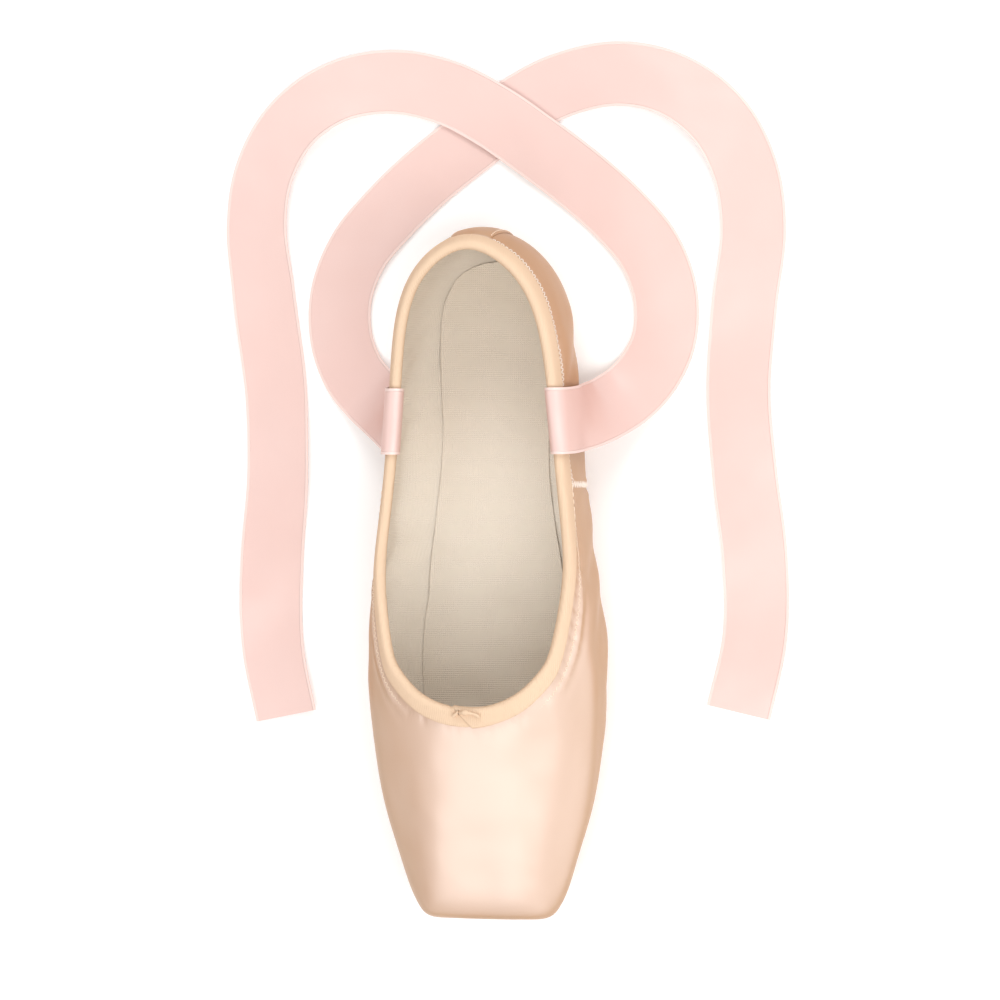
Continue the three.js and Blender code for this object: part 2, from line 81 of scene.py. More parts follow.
# %% Lights
WORLD_COLOUR = (1, 0.985, 0.97, 1)
WORLD_STRENGTH = 0.33
LIGHTS = [
    # name, place, aim, size both ways, power
    ("key", (0.66, 0.26, 1.26), (0.06, 0, 0.04), (2.8, 0.95), 21),
    ("left", (-0.35, -0.85, 1.0), (0, 0, 0.03), (1.2, 0.8), 2.6),
    ("right", (0.32, 1.45, 0.85), (0.05, 0, 0.03), (1.0, 0.7), 5.4),
    ("heel", (-1.0, 0.1, 0.8), (-0.05, 0, 0.03), (1.0, 0.6), 7),
]
for name, place, aim, size, power in LIGHTS:
    data = bpy.data.lights.new(name, "AREA")
    data.shape = "RECTANGLE"
    data.size, data.size_y = size
    data.energy = power
    lamp = bpy.data.objects.new(name, data)
    bpy.context.scene.collection.objects.link(lamp)
    lamp.location = place
    lamp.rotation_euler = (Vector(aim) - Vector(place)).to_track_quat("-Z", "Y").to_euler()
world = bpy.data.worlds.new("studio")
bpy.context.scene.world = world
world.use_nodes = True
background = world.node_tree.nodes["Background"]
background.inputs["Color"].default_value = WORLD_COLOUR
background.inputs["Strength"].default_value = WORLD_STRENGTH
bpy.context.scene.view_settings.view_transform = "Standard"
print("lights:", [row[0] for row in LIGHTS])

# %% Floor
FLOOR_SIZE = 6
FLOOR_LEVEL = -0.3 * MM
PAPER_GRAIN = 700


def add(tree, kind, inputs=None, **settings):
    """A node with its settings, and with values or links on its inputs."""
    made = tree.nodes.new(kind)
    for key, value in settings.items():
        setattr(made, key, value)
    for key, value in (inputs or {}).items():
        if isinstance(value, bpy.types.NodeSocket):
            tree.links.new(value, made.inputs[key])
        else:
            made.inputs[key].default_value = value
    return made


def noise(tree, place, scale, detail=2.0, **inputs):
    """A noise texture at this many spots to the metre."""
    return add(tree, "ShaderNodeTexNoise", {"Vector": place, "Scale": scale, "Detail": detail, **inputs})


def shades(tree, value, dark, light, start=0.0, end=1.0):
    """A colour that goes from dark to light with a value."""
    ramp = add(tree, "ShaderNodeValToRGB", {"Fac": value})
    for stop, position, colour in zip(ramp.color_ramp.elements, (start, end), (dark, light)):
        stop.position = position
        stop.color = (*colour, 1)
    return ramp.outputs["Color"]


def new_material(name, values):
    """A material with these values on its shader, its node tree and its shader."""
    material = bpy.data.materials.new(name)
    material.use_nodes = True
    shader = material.node_tree.nodes["Principled BSDF"]
    for key, value in values.items():
        shader.inputs[key].default_value = value
    return material, material.node_tree, shader


bpy.ops.mesh.primitive_plane_add(size=FLOOR_SIZE, location=(0, 0, FLOOR_LEVEL))
floor = bpy.context.object
floor.name = "floor"
paper, tree, shader = new_material("white paper", {
    "Roughness": 0.9,
    "Emission Color": (1, 0.99, 0.98, 1),
    "Emission Strength": 0.16,
    "Specular IOR Level": 0.1,
})
grain = noise(tree, add(tree, "ShaderNodeTexCoord").outputs["Object"], PAPER_GRAIN).outputs["Fac"]
paper_colour = shades(tree, grain, (0.90, 0.895, 0.89), (0.95, 0.948, 0.945))
tree.links.new(paper_colour, shader.inputs["Base Color"])
floor.data.materials.append(paper)
print("floor", FLOOR_SIZE, "m wide")

# %% [markdown]
# ## Helpers for pieces
# A solid arrives as loose triangles. A copy of it is merged, turned into quads and subdivided, and only then
# creased: quads subdivide smoothly, and the solid itself stays as it is.

# %% Copies of solids
WELD = 0.00001
QUAD_BEND = math.radians(60)
QUAD_SKEW = math.radians(70)


def only(piece):
    """Selects one piece alone."""
    bpy.ops.object.select_all(action="DESELECT")
    piece.select_set(True)
    bpy.context.view_layer.objects.active = piece


def copy_of(node, name):
    """A copy of a solid, merged and in quads, that stands for the solid."""
    piece = bpy.data.objects.new(name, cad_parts[node].data.copy())
    bpy.context.scene.collection.objects.link(piece)
    piece.data.materials.clear()
    only(piece)
    bpy.ops.object.mode_set(mode="EDIT")
    bpy.ops.mesh.select_all(action="SELECT")
    bpy.ops.mesh.remove_doubles(threshold=WELD)
    bpy.ops.mesh.customdata_custom_splitnormals_clear()
    bpy.ops.mesh.tris_convert_to_quads(face_threshold=QUAD_BEND, shape_threshold=QUAD_SKEW)
    bpy.ops.object.mode_set(mode="OBJECT")
    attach(piece, "root")
    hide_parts(node)
    return piece


def made_finer(piece, levels):
    """Subdivides a piece smoothly."""
    only(piece)
    finer = piece.modifiers.new("finer", "SUBSURF")
    finer.levels = levels
    finer.render_levels = levels
    bpy.ops.object.modifier_apply(modifier="finer")
    bpy.ops.object.shade_smooth()
    print(piece.name, len(piece.data.polygons), "faces")


def values_of(items, what):
    """Three numbers for each item of a mesh, such as its place or its normal."""
    values = np.empty(3 * len(items))
    items.foreach_get(what, values)
    return values.reshape(-1, 3)


def points_of(piece):
    return values_of(piece.data.vertices, "co")


def normals_of(piece):
    return values_of(piece.data.vertices, "normal")


def set_points(piece, points):
    piece.data.vertices.foreach_set("co", points.ravel())
    piece.data.update()


# %% [markdown]
# ## Lines on the shoe
# The collar and the edge of the sole are two closed curves. Stitches, puckers and creases are placed from
# them, so the curves are laid down once, from the same rows as the last: distance from the heel, half width
# and height, in millimetres, from the toe round to the heel.

# %% Collar and sole curves
COLLAR_ROWS = [
    (161, 0, 53), (159.6, 9.3, 52.8), (158.4, 12.4, 52.5), (155, 18.4, 51.5), (149, 24.2, 50), (140, 28.6, 48),
    (126, 31, 45.7), (105, 31.8, 42.7), (82, 29.5, 41.5), (48, 26.5, 44.3), (26, 22.3, 48.8), (12.5, 13.3, 52.7),
    (6.5, 0, 54.5),
]
SOLE_ROWS = [
    (206, 0, 0), (203.8, 9, 0), (201.6, 12.3, 0), (194.6, 17.6, 0), (183, 21.2, 0), (167, 23.4, 0), (152, 24, 0),
    (120, 18.8, 0), (88, 15, 0), (52, 17.6, 0), (28, 19, 0), (15, 13.5, 0), (11, 0, 0),
]

CURVE_POINTS = 480
SPLINE_STEPS = 24


def lengths_along(line):
    """Distance along a line from its start to each of its points."""
    return np.r_[0, np.cumsum(np.linalg.norm(np.diff(line, axis=0), axis=1))]


def points_at(wanted, steps, line):
    """Points of a line at the wanted distances along it."""
    return np.column_stack([np.interp(wanted, steps, line[:, k]) for k in range(3)])


def evenly(points, count, closed=False):
    """Points at even steps along a line."""
    line = np.vstack([points, points[:1]]) if closed else np.asarray(points)
    steps = lengths_along(line)
    wanted = np.linspace(0, steps[-1], count + 1)[:-1] if closed else np.linspace(0, steps[-1], count)
    return points_at(wanted, steps, line)


def between(a, b, start, end, t):
    """The way from a to b, as t goes from start to end."""
    return (end - t) / (end - start) * a + (t - start) / (end - start) * b


def through(points, closed=False):
    """A smooth line through points, with the spacing of the points eased so that it doesn't overshoot."""
    p = np.asarray(points, float)
    if closed:
        p = np.vstack([p[-1:], p, p[:2]])
    else:
        p = np.vstack([2 * p[:1] - p[1:2], p, 2 * p[-1:] - p[-2:-1]])
    line = []
    for a, b, c, d in zip(p[:-3], p[1:-2], p[2:-1], p[3:]):
        k = np.r_[0, np.cumsum(np.sqrt(np.linalg.norm(np.diff([a, b, c, d], axis=0), axis=1)))]
        t = np.linspace(k[1], k[2], SPLINE_STEPS, endpoint=False)[:, None]
        ab = between(a, b, k[0], k[1], t)
        bc = between(b, c, k[1], k[2], t)
        cd = between(c, d, k[2], k[3], t)
        abc = between(ab, bc, k[0], k[2], t)
        bcd = between(bc, cd, k[1], k[3], t)
        line.append(between(abc, bcd, k[1], k[2], t))
    if not closed:
        line.append(p[-2:-1])
    return np.vstack(line)


def round_the_shoe(rows):
    """A closed curve from the rows of one side."""
    side = np.array(rows, float)
    side[:, 0] += HEEL_X
    other = side[-2:0:-1] * (1, -1, 1)
    return evenly(through(np.vstack([side, other]) * MM, closed=True), CURVE_POINTS, closed=True)


collar = round_the_shoe(COLLAR_ROWS)
sole_edge = round_the_shoe(SOLE_ROWS)
print("collar", round(float(lengths_along(collar)[-1]) * 1000), "mm round")

# %% Surfaces to lay things on
CORE_BACK, CORE_FRONT, CORE_HEIGHT = -0.09, 0.088, 0.022


def surface_of(piece):
    """A surface to look for the nearest point on."""
    piece.data.calc_loop_triangles()
    corners = [tuple(t.vertices) for t in piece.data.loop_triangles]
    return BVHTree.FromPolygons([v.co.copy() for v in piece.data.vertices], corners)


def unit(rows):
    """Rows as directions of length one."""
    return rows / np.linalg.norm(rows, axis=1)[:, None]


def outwards(points):
    """Rough direction out of the shoe, from a line along its middle."""
    middle = np.column_stack([
        np.clip(points[:, 0], CORE_BACK, CORE_FRONT),
        np.zeros(len(points)),
        np.full(len(points), CORE_HEIGHT),
    ])
    return unit(points - middle)


# %% [markdown]
# ## Cloth in nodes
# Satin, ribbon, tape and lining are all woven, and what they share is in two node groups. The first makes the
# threads: it takes the surface's own UV in metres, lays fine ribs along and across, breaks them up with a little
# noise, and puts out a height for a bump and a tone. The second makes the cloth uneven: it takes the tone and
# two shades, and puts out a colour, a roughness and a softly waved normal. Each cloth gives its own sizes.

# %% Thread group
STREAK_ALONG = 250
STREAK_ACROSS = 3600


def maths(tree, operation, *values):
    return add(tree, "ShaderNodeMath", dict(enumerate(values)), operation=operation).outputs[0]


def new_group(name, inputs, outputs):
    """A node group with these sockets, what goes into it and what comes out."""
    group = bpy.data.node_groups.new(name, "ShaderNodeTree")
    for way, sockets in (("INPUT", inputs), ("OUTPUT", outputs)):
        for socket, kind in sockets.items():
            group.interface.new_socket(socket, in_out=way, socket_type="NodeSocket" + kind)
    return group, add(group, "NodeGroupInput").outputs, add(group, "NodeGroupOutput").inputs


threads, given, result = new_group(
    "threads",
    {"Vector": "Vector", "Along": "Float", "Across": "Float", "Streak": "Float"},
    {"Height": "Float", "Tone": "Float"},
)
split = add(threads, "ShaderNodeSeparateXYZ", {0: given["Vector"]}).outputs
ribs = []
for axis, count in (("X", "Along"), ("Y", "Across")):
    turns = maths(threads, "MULTIPLY", split[axis], given[count])
    ribs.append(maths(threads, "SINE", maths(threads, "MULTIPLY", turns, 2 * math.pi)))
stretched = add(threads, "ShaderNodeCombineXYZ", {
    "X": maths(threads, "MULTIPLY", split["X"], STREAK_ALONG),
    "Y": maths(threads, "MULTIPLY", split["Y"], STREAK_ACROSS),
})
streaks = noise(threads, stretched.outputs[0], 1, 3).outputs["Fac"]
weave = maths(threads, "MULTIPLY", maths(threads, "ADD", *ribs), 0.25)
uneven = maths(threads, "MULTIPLY", streaks, given["Streak"])
threads.links.new(maths(threads, "ADD", weave, uneven), result["Height"])
threads.links.new(streaks, result["Tone"])
print("threads:", len(threads.nodes), "nodes")

# %% Unevenness group
PATCH_SCALE = 28
PATCH_SHARE = 0.85
PATCH_GLOSS = 0.08
WAVE_SCALE = 42
WAVE_STRENGTH = 0.8
WAVE_HEIGHT = 2.5 * MM


def blend(tree, share, first, second):
    """A colour that goes from the first to the second with a share."""
    return add(tree, "ShaderNodeMix", {0: share, 6: first, 7: second}, data_type="RGBA").outputs[2]


unevenness, given, result = new_group(
    "unevenness",
    {"Vector": "Vector", "Tone": "Float", "Dark": "Color", "Light": "Color", "Rough": "Float"},
    {"Color": "Color", "Roughness": "Float", "Normal": "Vector"},
)
patches = noise(unevenness, given["Vector"], PATCH_SCALE, 4).outputs["Fac"]
share = maths(unevenness, "ADD", maths(unevenness, "MULTIPLY", patches, PATCH_SHARE),
              maths(unevenness, "MULTIPLY", given["Tone"], 1 - PATCH_SHARE))
unevenness.links.new(blend(unevenness, share, given["Dark"], given["Light"]), result["Color"])
gloss = maths(unevenness, "ADD", maths(unevenness, "SUBTRACT", given["Rough"], PATCH_GLOSS / 2),
              maths(unevenness, "MULTIPLY", patches, PATCH_GLOSS))
unevenness.links.new(gloss, result["Roughness"])
waves = noise(unevenness, given["Vector"], WAVE_SCALE, 1).outputs["Fac"]
waved = add(unevenness, "ShaderNodeBump", {
    "Strength": WAVE_STRENGTH, "Distance": WAVE_HEIGHT, "Height": waves})
unevenness.links.new(waved.outputs[0], result["Normal"])
print("unevenness:", len(unevenness.nodes), "nodes")

# %% Cloths
PAINTED_SHADE_BLEND = 0.35
PAINTED_SHADE_START, PAINTED_SHADE_FULL = 0.05, 0.55
THREAD_HEIGHT = 0.2 * MM


def fade(tree, value, start, end, low=0, high=1, **settings):
    """A value that goes from low to high between a start and an end."""
    limits = {"Value": value, "From Min": start, "From Max": end, "To Min": low, "To Max": high}
    return add(tree, "ShaderNodeMapRange", limits, **settings).outputs[0]


def cloth(name, light, dark, painted_shade, painted_shade_strength, along, across, streak, rough, bump, sheen, ior=1.5):
    """A woven material whose colour goes to a painted shade where it turns away from the view. One without threads
    along is satin: it shines, most of all across its threads.
    """
    values = {"Sheen Weight": sheen, "Sheen Roughness": 0.45, "Sheen Tint": (*light, 1), "Specular IOR Level": 0.4}
    if along == 0:
        values.update({"Specular IOR Level": 1.0, "IOR": ior, "Anisotropic": 0.5})
    material, tree, shader = new_material(name, values)
    woven = add(tree, "ShaderNodeGroup", {
        "Vector": add(tree, "ShaderNodeUVMap", uv_map="cloth").outputs[0],
        "Along": along, "Across": across, "Streak": streak}, node_tree=threads).outputs
    look = add(tree, "ShaderNodeGroup", {
        "Vector": add(tree, "ShaderNodeTexCoord").outputs["Object"], "Tone": woven["Tone"],
        "Dark": (*dark, 1), "Light": (*light, 1), "Rough": rough}, node_tree=unevenness).outputs
    # Painted shade: the facing value blends the colour towards the darker shade colour as the surface turns
    # edge-on to the camera, so the sides read as shaded.
    facing = add(tree, "ShaderNodeLayerWeight", {"Blend": PAINTED_SHADE_BLEND}).outputs["Facing"]
    painted_shade_mask = fade(tree, facing, PAINTED_SHADE_START, PAINTED_SHADE_FULL, 0, painted_shade_strength, interpolation_type="SMOOTHSTEP")
    tree.links.new(blend(tree, painted_shade_mask, look["Color"], (*painted_shade, 1)), shader.inputs["Base Color"])
    tree.links.new(look["Roughness"], shader.inputs["Roughness"])
    raised = add(tree, "ShaderNodeBump", {
        "Strength": bump, "Distance": THREAD_HEIGHT, "Height": woven["Height"], "Normal": look["Normal"]})
    tree.links.new(raised.outputs[0], shader.inputs["Normal"])
    if along == 0:
        thread_way = add(tree, "ShaderNodeTangent", direction_type="UV_MAP", uv_map="cloth")
        tree.links.new(thread_way.outputs[0], shader.inputs["Tangent"])
    return material


# The third colour of each cloth is its painted shade, which the sides turned away from the view take on.
satin = cloth(
    "peach satin", (0.79, 0.565, 0.44), (0.75, 0.515, 0.385), (0.42, 0.18, 0.03), painted_shade_strength=0.95,
    along=0, across=4000, streak=0.8, rough=0.42, bump=0.08, sheen=0.04, ior=1.8)
lining = cloth(
    "cotton lining", (0.86, 0.79, 0.69), (0.78, 0.69, 0.58), (0.7, 0.6, 0.5), painted_shade_strength=0.3,
    along=1400, across=1400, streak=0.2, rough=0.85, bump=0.8, sheen=0.1)
tape = cloth(
    "cotton tape", (0.88, 0.66, 0.475), (0.82, 0.585, 0.40), (0.66, 0.43, 0.27), painted_shade_strength=0.5,
    along=2600, across=1900, streak=0.3, rough=0.78, bump=0.7, sheen=0.15)
ribbon_satin = cloth(
    "pink ribbon", (0.85, 0.615, 0.565), (0.81, 0.555, 0.50), (0.72, 0.42, 0.35), painted_shade_strength=0.6,
    along=0, across=3000, streak=0.8, rough=0.38, bump=0.08, sheen=0.06)
print("cloths:", [m.name for m in (satin, lining, tape, ribbon_satin)])

# %% Firm edge of the ribbon
SELVEDGE = 10.0 * MM
SELVEDGE_STEP = 0.2 * MM
SELVEDGE_COLOUR = (0.97, 0.80, 0.74, 1)
SELVEDGE_SHARE = 0.45
tree = ribbon_satin.node_tree
shader = tree.nodes["Principled BSDF"]
uv = add(tree, "ShaderNodeUVMap", uv_map="cloth").outputs[0]
sideways = maths(tree, "ABSOLUTE", add(tree, "ShaderNodeSeparateXYZ", {0: uv}).outputs["Y"])
firm = fade(tree, sideways, SELVEDGE, SELVEDGE + SELVEDGE_STEP)
woven_colour = shader.inputs["Base Color"].links[0].from_socket
paler = blend(tree, maths(tree, "MULTIPLY", firm, SELVEDGE_SHARE), woven_colour, SELVEDGE_COLOUR)
tree.links.new(paler, shader.inputs["Base Color"])
edge_bump = add(tree, "ShaderNodeBump", {
    "Strength": 0.6, "Distance": 0.3 * MM, "Height": firm,
    "Normal": shader.inputs["Normal"].links[0].from_socket})
tree.links.new(edge_bump.outputs[0], shader.inputs["Normal"])
print("firm edge from", SELVEDGE, "m off the middle")

# %% UV in metres
LAST_CENTRE = 0.012
LAST_RADIUS = 0.033


def set_uv(piece, flat):
    """Writes a UV for each point of a piece."""
    corner = np.empty(len(piece.data.loops), dtype=np.int64)
    piece.data.loops.foreach_get("vertex_index", corner)
    piece.data.uv_layers.new(name="cloth").data.foreach_set("uv", flat[corner].ravel())


def lay_cloth(piece, across):
    """Writes the piece's UV in metres: x along the shoe, and a distance across it for each point."""
    set_uv(piece, np.column_stack([points_of(piece)[:, 0], across]))


def round_the_last(points):
    """Distance round the shoe from its middle line, for the cloth of upper and binding."""
    return np.arctan2(points[:, 1], points[:, 2] - LAST_CENTRE) * LAST_RADIUS


# %% [markdown]
# ## Upper
# Satin over canvas is pulled round the last by hand, so it has soft diagonal tension folds in the quarters,
# sharp pleats under the box where the cloth is gathered to the sole, and small puckers along the binding. The
# copy of the upper is subdivided, and each fold is then pressed into it along a line of a few points that are
# given as distance from the heel, half width and height.

# %% Folds
FOLDS = [
    # name, depth, width, points on the left side or, with a minus, on the right
    ("quarter", 1.2, 6.0, [(30, 24, 9), (44, 30, 20), (60, 31, 33)]),
    ("quarter", 1.0, 5.5, [(46, 26, 8), (60, 31, 18), (76, 32, 32)]),
    ("quarter", 1.2, 6.0, [(32, -24, 9), (48, -30, 22), (58, -31, 34)]),
    ("quarter", 1.0, 5.5, [(50, -26, 8), (64, -31, 17), (74, -32, 31)]),
    ("arch", 1.0, 4.6, [(94, 24, 8), (108, 35, 18), (120, 37, 31)]),
    ("arch", 1.0, 5.0, [(97, 25, 7), (118, 36, 14), (140, 38, 28)]),
    ("arch", 0.8, 4.5, [(104, 26, 6), (132, 37, 10), (160, 40, 17)]),
    ("arch", 1.0, 4.6, [(93, -24, 8), (106, -35, 19), (117, -37, 31)]),
    ("arch", 1.0, 5.0, [(98, -25, 7), (121, -36, 15), (143, -38, 29)]),
    ("arch", 0.8, 5.0, [(106, -26, 6), (135, -37, 10), (158, -40, 16)]),
    ("shoulder", -0.8, 5.0,
     [(140, 36, 34), (160, 34.5, 30), (182, 32.5, 26), (205, 28, 23), (229, 21.5, 19)]),
    ("shoulder", -0.5, 6.0,
     [(140, -36, 34), (160, -34.5, 30), (182, -32.5, 26), (205, -28, 23), (229, -21.5, 19)]),
    ("box side", 0.25, 4.0, [(160, 36, 9), (185, 36, 12), (208, 31, 13)]),
    ("box side", 0.25, 4.0, [(158, -36, 9), (182, -36, 12), (206, -31, 13)]),
]
PLEATS = [
    (0.75, 1.5, [(195, 18, 4), (210, 22, 6), (224, 22, 9), (231, 20, 14)]),
    (0.70, 1.4, [(201, 13.5, 4), (214, 15.5, 5.5), (227, 15, 8), (232, 14, 13)]),
    (0.75, 1.5, [(194, -18.5, 4), (209, -23, 6), (223, -23, 9), (230, -21, 14)]),
    (0.65, 1.4, [(202, -12.5, 4), (215, -14, 5.5), (228, -13, 8), (232, -12, 12)]),
    (0.45, 1.2, [(188, 20.5, 4), (199, 26, 6), (210, 28, 10)]),
    (0.45, 1.2, [(187, -20.5, 4), (197, -26, 6), (208, -29, 10)]),
    (0.35, 1.1, [(181, 22, 4), (188, 28, 6), (195, 33, 9)]),
    (0.35, 1.1, [(180, -22, 4), (186, -28, 6), (192, -33, 9)]),
    (0.30, 1.1, [(172, 23.5, 3.5), (177, 29, 5), (182, 34, 8)]),
    (0.30, 1.1, [(171, -23.5, 3.5), (175, -29, 5), (180, -34, 8)]),
    (0.40, 1.2, [(22, 18, 3.5), (16, 22, 6), (11, 23, 11)]),
    (0.40, 1.2, [(21, -18, 3.5), (15, -22, 6), (10, -22, 11)]),
    (0.35, 1.2, [(33, 20, 3.5), (33, 25, 6), (31, 28, 11)]),
    (0.35, 1.2, [(35, -20, 3.5), (36, -25, 6), (34, -28, 11)]),
]


# %% Lines on the upper
LINE_POINTS = 40
LINE_REACH = 20 * MM


def on_surface(surface, rows):
    """A line of given points, laid on a surface."""
    points = np.array(rows, float)
    points[:, 0] += HEEL_X
    line = evenly(through(points * MM), LINE_POINTS)
    return np.array([surface.find_nearest(Vector(p))[0] for p in line])


def along_line(points, line):
    """Distance of points from a line, and share of the way along it."""
    near = np.full(len(points), np.inf)
    share = np.zeros(len(points))
    low, high = line.min(0) - LINE_REACH, line.max(0) + LINE_REACH
    inside = np.flatnonzero(((points > low) & (points < high)).all(1))
    apart = np.linalg.norm(points[inside, None] - line[None], axis=2)
    best = apart.argmin(1)
    near[inside] = apart[np.arange(len(inside)), best]
    share[inside] = best / (len(line) - 1)
    return near, share


# %% Down from the collar
STEP = 0.5 * MM
COLLAR_WALL = 3 * MM
around = unit(np.roll(collar, -1, 0) - np.roll(collar, 1, 0))
collar_out = unit(np.cross(around, (0, 0, 1)))


def down_from_collar(surface, index, distance):
    """Follows the outside of the shoe from the collar straight down, and returns the points on the way."""
    along = Vector(around[index])
    spot, normal, _, _ = surface.find_nearest(Vector(collar[index] + collar_out[index] * COLLAR_WALL))
    way = [(spot, normal)]
    for _ in range(round(distance / STEP)):
        spot, normal, _, _ = surface.find_nearest(spot + along.cross(normal).normalized() * STEP)
        way.append((spot, normal))
    return way


def collar_index(x, side):
    """The place on the collar at this distance along the shoe, on its left or right side."""
    gap = abs(collar[:, 0] - x) + (np.sign(collar[:, 1]) != side)
    return int(gap.argmin())


def from_collar(points, chunk):
    """Distances of some of the points from every point of the collar."""
    return np.linalg.norm(points[chunk, None] - collar[None], axis=2)


# %% Finer mesh where the upper is creased
SIDES = (("left", 1), ("right", -1))
SEAM_X = (87 + HEEL_X) * MM
SEAM_DROP = 52 * MM
SEAM_FOOT = 4.5 * MM
SEAM_BAND = 4 * MM
PLEAT_BAND = 4.5 * MM
RIM_FOOT = 20 * MM
RIM_START, RIM_END = 2.5 * MM, 10 * MM
CHUNKS = 40


def cut_finer(piece, wanted, cuts):
    """Subdivides a piece where all points of a face are wanted."""
    mesh = piece.data
    mesh.vertices.foreach_set("select", wanted)
    for items in (mesh.edges, mesh.polygons):
        items.foreach_set("select", [bool(wanted[list(item.vertices)].all()) for item in items])
    only(piece)
    bpy.ops.object.mode_set(mode="EDIT")
    bpy.ops.mesh.subdivide(number_cuts=cuts)
    bpy.ops.object.mode_set(mode="OBJECT")


upper = copy_of("upper", "satin_upper")
bare_upper = surface_of(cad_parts["upper"])
made_finer(upper, 2)
seams = []
for _, side in SIDES:
    way = down_from_collar(bare_upper, collar_index(SEAM_X, side), SEAM_DROP)
    seams.append(np.array([spot for spot, _ in way if spot.z > SEAM_FOOT]))
pleat_lines = [(height, width, on_surface(bare_upper, rows)) for height, width, rows in PLEATS]
points = points_of(upper)
fine = np.zeros(len(points), bool)
for line in seams:
    fine |= along_line(points, line)[0] < SEAM_BAND
for _, _, line in pleat_lines:
    fine |= along_line(points, line)[0] < PLEAT_BAND
for chunk in np.array_split(np.flatnonzero(points[:, 2] > RIM_FOOT), CHUNKS):
    apart = from_collar(points, chunk).min(1)
    fine[chunk] |= (apart > RIM_START) & (apart < RIM_END)
cut_finer(upper, fine, 1)
print("upper", len(upper.data.polygons), "faces")

# %% Folds, pleats and seams
FOLD_RIDGE, FOLD_RIDGE_AT = 0.45, 1.6
PLEAT_RIDGE, PLEAT_TROUGH, PLEAT_TROUGH_AT = 0.55, 0.6, 1.9
SEAM_WELT, SEAM_WELT_AT, SEAM_WELT_WIDTH = 0.25 * MM, 2.2 * MM, 1.2 * MM
SEAM_GROOVE, SEAM_GROOVE_WIDTH = 0.35 * MM, 0.8 * MM


def hump(distance, width):
    """A soft rise: one in the middle and nearly nothing at twice its width."""
    return np.exp(-((distance / width) ** 2))


points = points_of(upper)
normals = normals_of(upper)
is_outside = (normals * outwards(points)).sum(1) > 0
facing = np.where(is_outside[:, None], normals, -normals)
shift = np.zeros(len(points))
for _, depth, width, rows in FOLDS:
    near, share = along_line(points, on_surface(bare_upper, rows))
    ends = np.clip(np.sin(np.pi * np.clip(0.06 + 0.88 * share, 0, 1)) * 1.5, 0, 1)
    ridge = FOLD_RIDGE * hump(near - FOLD_RIDGE_AT * width * MM, width * MM)
    shift += ends * depth * MM * (ridge - hump(near, width * MM))
for height, width, line in pleat_lines:
    near, share = along_line(points, line)
    ends = np.clip(3 * (1 - share), 0, 1)
    ridge = PLEAT_RIDGE * hump(near, width * MM)
    trough = PLEAT_TROUGH * hump(near - PLEAT_TROUGH_AT * width * MM, width * MM)
    shift += ends * is_outside * height * MM * (ridge - trough)
for line in seams:
    near, _ = along_line(points, line)
    welt = SEAM_WELT * hump(near - SEAM_WELT_AT, SEAM_WELT_WIDTH)
    shift += is_outside * (welt - SEAM_GROOVE * hump(near, SEAM_GROOVE_WIDTH))
print(len(FOLDS), "folds and", len(PLEATS), "pleats")

# %% Puckers
# The binding's stitches draw the satin in: small dents at uneven steps along the collar.
PUCKER_PITCH = 4.5 * MM
PUCKER_DEPTH = 0.30 * MM
PUCKER_WIDTH = 1.2 * MM
PUCKER_DOWN = 5.5 * MM
PUCKER_TURN = 5 * MM
PUCKER_END = 40 * MM
chance = np.random.default_rng(7)
collar_step = np.linalg.norm(np.diff(collar, axis=0), axis=1).mean()
collar_length = collar_step * len(collar)
below = np.full(len(points), np.inf)
place = np.zeros(len(points))
rim = np.flatnonzero(is_outside & (points[:, 2] > RIM_FOOT))
for chunk in np.array_split(rim, CHUNKS):
    apart = from_collar(points, chunk)
    below[chunk] = apart.min(1)
    place[chunk] = apart.argmin(1) * collar_step
deep = np.clip(below, 0, PUCKER_END)
spots = np.arange(0, collar_length, PUCKER_PITCH)
for spot in spots + chance.uniform(-2, 2, len(spots)) * MM:
    aside = (place - spot + collar_length / 2) % collar_length - collar_length / 2
    size = chance.uniform(0.4, 1.0) * PUCKER_DEPTH
    lean = chance.uniform(-0.35, 0.35)
    reach = chance.uniform(2.0, 5.0) * MM
    shift -= size * hump(aside - lean * (deep - PUCKER_TURN), PUCKER_WIDTH) * hump(deep - PUCKER_DOWN, reach)
print(len(spots), "puckers")

# %% Rolls beside the throat
# The satin stands up in a soft roll just under the binding on each side of the throat.
ROLLS = [
    # side, start and end from the heel, distance below the collar, height, width
    (-1, 100, 156, 6.0, 0.6, 1.2),
    (1, 112, 150, 6.4, 0.45, 1.3),
]
ROLL_TROUGH, ROLL_TROUGH_AT = 0.5, 2.1
for side, start, end, down, height, width in ROLLS:
    first, last = sorted(collar_index((x + HEEL_X) * MM, side) for x in (start, end))
    line = np.array([down_from_collar(bare_upper, i, down * MM)[-1][0] for i in range(first, last)])
    near, share = along_line(points, line)
    ends = np.sin(np.pi * np.clip(share, 0, 1)) ** 0.5
    trough = ROLL_TROUGH * hump(near - ROLL_TROUGH_AT * width * MM, width * MM)
    shift += is_outside * ends * height * MM * (hump(near, width * MM) - trough)
moved = points + facing * shift[:, None]
print("the upper moves by up to", round(float(abs(shift).max()) * 1000, 2), "mm")

# %% Platform corners and cloth
# The corners of the platform are pressed a little sharper than the last's own curve.
CORNER_X, CORNER_Y = 114.0 * MM, 19.5 * MM
CORNER_PUSH = 0.9 * MM
CORNER_REACH = 4.5 * MM
from_corner = np.hypot(points[:, 0] - CORNER_X, abs(points[:, 1]) - CORNER_Y)
push = is_outside * CORNER_PUSH * hump(from_corner, CORNER_REACH)
moved[:, 0] += 0.45 * push
moved[:, 1] += 0.9 * np.sign(points[:, 1]) * push
set_points(upper, moved)
lay_cloth(upper, round_the_last(points))
upper.data.materials.append(satin)
upper.data.materials.append(lining)
faces = upper.data.polygons
inner = (values_of(faces, "normal") * outwards(values_of(faces, "center"))).sum(1) < 0
faces.foreach_set("material_index", inner.astype(np.int32))
print("lining on", int(inner.sum()), "of", len(faces), "faces")

